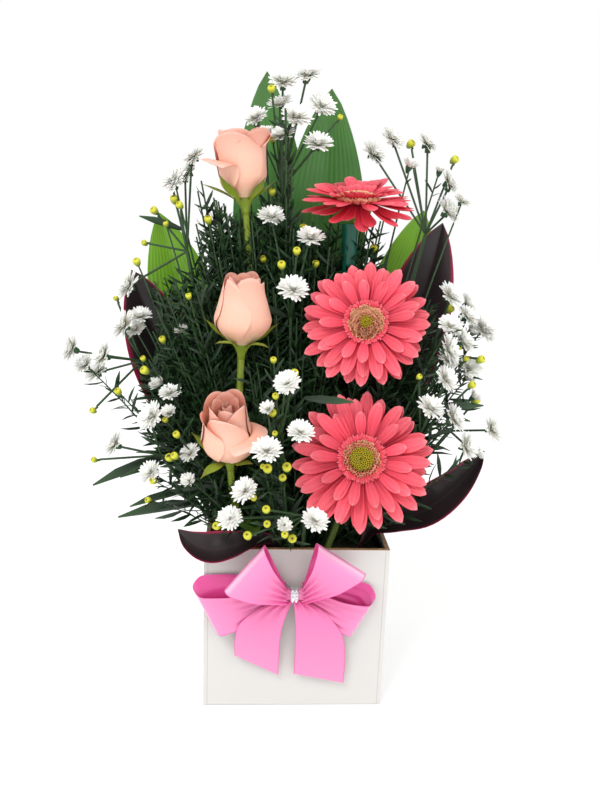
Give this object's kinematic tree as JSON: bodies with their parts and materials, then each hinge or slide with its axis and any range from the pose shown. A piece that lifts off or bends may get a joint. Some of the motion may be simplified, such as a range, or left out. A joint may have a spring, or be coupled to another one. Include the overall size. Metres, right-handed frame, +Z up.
{
  "type": "flower box",
  "caption": "Square white board box with a satin ribbon bow, holding a lift-out liner and foam of roses, gerberas, asters and leaves.",
  "frame": {"origin": "centre of the box's underside", "axes": "+Z up through the flowers, the bow faces -Y, +X to the right seen from the front"},
  "size_m": [0.337, 0.2049, 0.49],
  "materials": {
    "aster_bud": "closed yellow-green bud",
    "aster_green": "living stem and narrow leaf",
    "aster_white": "fine white ray florets",
    "black_liner": "black plastic film tray",
    "broad_leaf": "living waxy leaf",
    "dark_leaf": "living waxy leaf with crimson margin",
    "faced_board": "white faced board with raw brown cut edges, satin",
    "floral_foam": "wet floral foam",
    "gerbera_disc": "disc of tiny florets",
    "gerbera_green": "living stem and bracts",
    "gerbera_petal": "living ray petal, soft matte",
    "hot_glue": "clear hot-melt glue",
    "pink_satin": "satin weave ribbon",
    "rhinestone": "faceted clear stones",
    "rose_green": "living stem and sepal",
    "rose_petal": "living petal, soft matte",
    "silver_band": "bright silver",
    "stem_sleeve": "translucent green straw"
  },
  "bodies": {
    "box": {"back_panel": "faced_board", "base_panel": "faced_board", "bow_band": "silver_band", "bow_glue_pad": "hot_glue", "bow_knot": "pink_satin", "bow_loop_lower_left": "pink_satin", "bow_loop_lower_right": "pink_satin", "bow_loop_upper_left": "pink_satin", "bow_loop_upper_right": "pink_satin", "bow_stones": "rhinestone", "bow_tail_left": "pink_satin", "bow_tail_right": "pink_satin", "front_panel": "faced_board", "left_panel": "faced_board", "right_panel": "faced_board"},
    "arrangement": {"aster_blooms_left": "aster_white", "aster_blooms_middle": "aster_white", "aster_blooms_right": "aster_white", "aster_buds_left": "aster_bud", "aster_buds_middle": "aster_bud", "aster_buds_right": "aster_bud", "aster_leaves_left": "aster_green", "aster_leaves_middle": "aster_green", "aster_leaves_right": "aster_green", "aster_stems_left": "aster_green", "aster_stems_middle": "aster_green", "aster_stems_right": "aster_green", "broad_leaf_centre": "broad_leaf", "broad_leaf_left": "broad_leaf", "broad_leaf_right": "broad_leaf", "broad_leaf_tall": "broad_leaf", "dark_leaf_front": "dark_leaf", "dark_leaf_left": "dark_leaf", "dark_leaf_right": "dark_leaf", "dark_leaf_right_low": "dark_leaf", "foam_block": "floral_foam", "gerbera_lower_bracts": "gerbera_green", "gerbera_lower_disc": "gerbera_disc", "gerbera_lower_rays": "gerbera_petal", "gerbera_lower_stem": "gerbera_green", "gerbera_middle_bracts": "gerbera_green", "gerbera_middle_disc": "gerbera_disc", "gerbera_middle_rays": "gerbera_petal", "gerbera_middle_stem": "gerbera_green", "gerbera_top_bracts": "gerbera_green", "gerbera_top_disc": "gerbera_disc", "gerbera_top_rays": "gerbera_petal", "gerbera_top_sleeve": "stem_sleeve", "gerbera_top_stem": "gerbera_green", "liner_tray": "black_liner", "rose_leaves": "rose_green", "rose_lower_hip": "rose_green", "rose_lower_petals": "rose_petal", "rose_lower_stem": "rose_green", "rose_middle_hip": "rose_green", "rose_middle_petals": "rose_petal", "rose_middle_stem": "rose_green", "rose_top_hip": "rose_green", "rose_top_petals": "rose_petal", "rose_top_stem": "rose_green"}
  },
  "joints": [
    {"name": "arrangement_lift", "type": "slide", "parent": "box", "child": "arrangement", "axis": [0, 0, 1], "range_m": [0, 0.14]}
  ]
}
